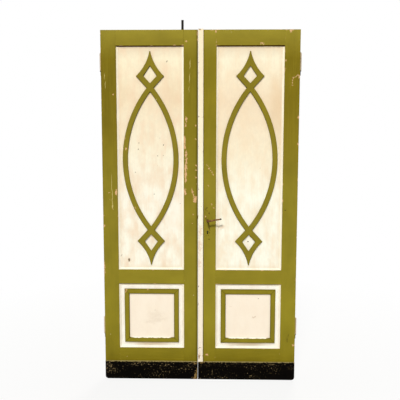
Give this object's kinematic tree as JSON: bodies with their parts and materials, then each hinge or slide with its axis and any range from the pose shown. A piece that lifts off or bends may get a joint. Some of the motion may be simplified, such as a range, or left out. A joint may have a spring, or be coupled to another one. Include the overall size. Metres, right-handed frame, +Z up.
{
  "type": "double doors",
  "caption": "Pair of panelled wooden door leaves with fretwork on the upper panels, kick boards, a cover strip, a lever lock, lift-off hinges and surface bolts.",
  "frame": {"origin": "on the floor line, at the middle of the pair's width and of the leaves' thickness", "axes": "+X to the right seen from the front, +Y away from the front to the hinge side, +Z up"},
  "size_m": [1.304, 0.144, 2.369],
  "materials": {
    "green_wood": "worn olive-green oil paint",
    "cream_wood": "worn cream oil paint",
    "black_wood": "scuffed black paint",
    "painted_iron": "chipped cream paint over iron",
    "aged_iron": "rust-brown handled iron",
    "black_iron": "blackened iron",
    "lock_steel": "dull aged steel"
  },
  "bodies": {
    "hinge_pins": {"left_top_hinge_pin": "black_iron", "left_bottom_hinge_pin": "black_iron", "right_top_hinge_pin": "black_iron", "right_bottom_hinge_pin": "black_iron"},
    "left_leaf": {"left_hinge_stile": "green_wood", "left_meeting_stile": "green_wood", "left_top_rail": "green_wood", "left_middle_rail": "green_wood", "left_bottom_rail": "green_wood", "left_upper_panel": "cream_wood", "left_lower_panel": "cream_wood", "left_upper_beads": "cream_wood", "left_lower_beads": "cream_wood", "left_top_finial": "green_wood", "left_bottom_finial": "green_wood", "left_outer_bow": "green_wood", "left_inner_bow": "green_wood", "left_square_moulding": "green_wood", "left_kick_board": "black_wood", "left_top_hinge": "painted_iron", "left_bottom_hinge": "painted_iron", "strike_plate": "lock_steel", "top_bolt_plate": "black_iron", "bottom_bolt_plate": "black_iron"},
    "right_leaf": {"right_hinge_stile": "green_wood", "right_meeting_stile": "green_wood", "right_top_rail": "green_wood", "right_middle_rail": "green_wood", "right_bottom_rail": "green_wood", "right_upper_panel": "cream_wood", "right_lower_panel": "cream_wood", "right_upper_beads": "cream_wood", "right_lower_beads": "cream_wood", "right_top_finial": "green_wood", "right_bottom_finial": "green_wood", "right_outer_bow": "green_wood", "right_inner_bow": "green_wood", "right_square_moulding": "green_wood", "right_kick_board": "black_wood", "right_top_hinge": "painted_iron", "right_bottom_hinge": "painted_iron", "cover_strip": "cream_wood", "lock_case": "lock_steel", "lock_cover": "lock_steel", "lock_forend": "lock_steel"},
    "lever": {"follower": "lock_steel", "spindle": "lock_steel", "front_lever": "aged_iron", "rear_lever": "aged_iron"},
    "latch": {"latch": "lock_steel"},
    "dead_bolt": {"dead_bolt": "lock_steel"},
    "top_bolt": {"top_bolt_bar": "black_iron"},
    "bottom_bolt": {"bottom_bolt_bar": "black_iron"}
  },
  "joints": [
    {"name": "left_leaf_swing", "type": "hinge", "parent": "hinge_pins", "child": "left_leaf", "pos_m": [-0.643, 0.0295, 0], "axis": [0, 0, 1], "range_deg": [0, 110]},
    {"name": "right_leaf_swing", "type": "hinge", "parent": "hinge_pins", "child": "right_leaf", "pos_m": [0.643, 0.0295, 0], "axis": [0, 0, -1], "range_deg": [0, 110]},
    {"name": "lever_turn", "type": "hinge", "parent": "right_leaf", "child": "lever", "pos_m": [0.051, 0, 1.08], "axis": [0, 1, 0], "range_deg": [0, 38], "stiffness_Nm_per_rad": 1.2, "springref_deg": -22.92},
    {"name": "latch_slide", "type": "slide", "parent": "right_leaf", "child": "latch", "axis": [1, 0, 0], "range_m": [0, 0.011]},
    {"name": "dead_bolt_slide", "type": "slide", "parent": "right_leaf", "child": "dead_bolt", "axis": [-1, 0, 0], "range_m": [0, 0.014]},
    {"name": "top_bolt_slide", "type": "slide", "parent": "left_leaf", "child": "top_bolt", "axis": [0, 0, -1], "range_m": [0, 0.069]},
    {"name": "bottom_bolt_slide", "type": "slide", "parent": "left_leaf", "child": "bottom_bolt", "axis": [0, 0, -1], "range_m": [0, 0.02]}
  ],
  "couplings": [
    {"joint": "latch_slide", "follows": "lever_turn", "m_per_rad": 0.016585}
  ]
}
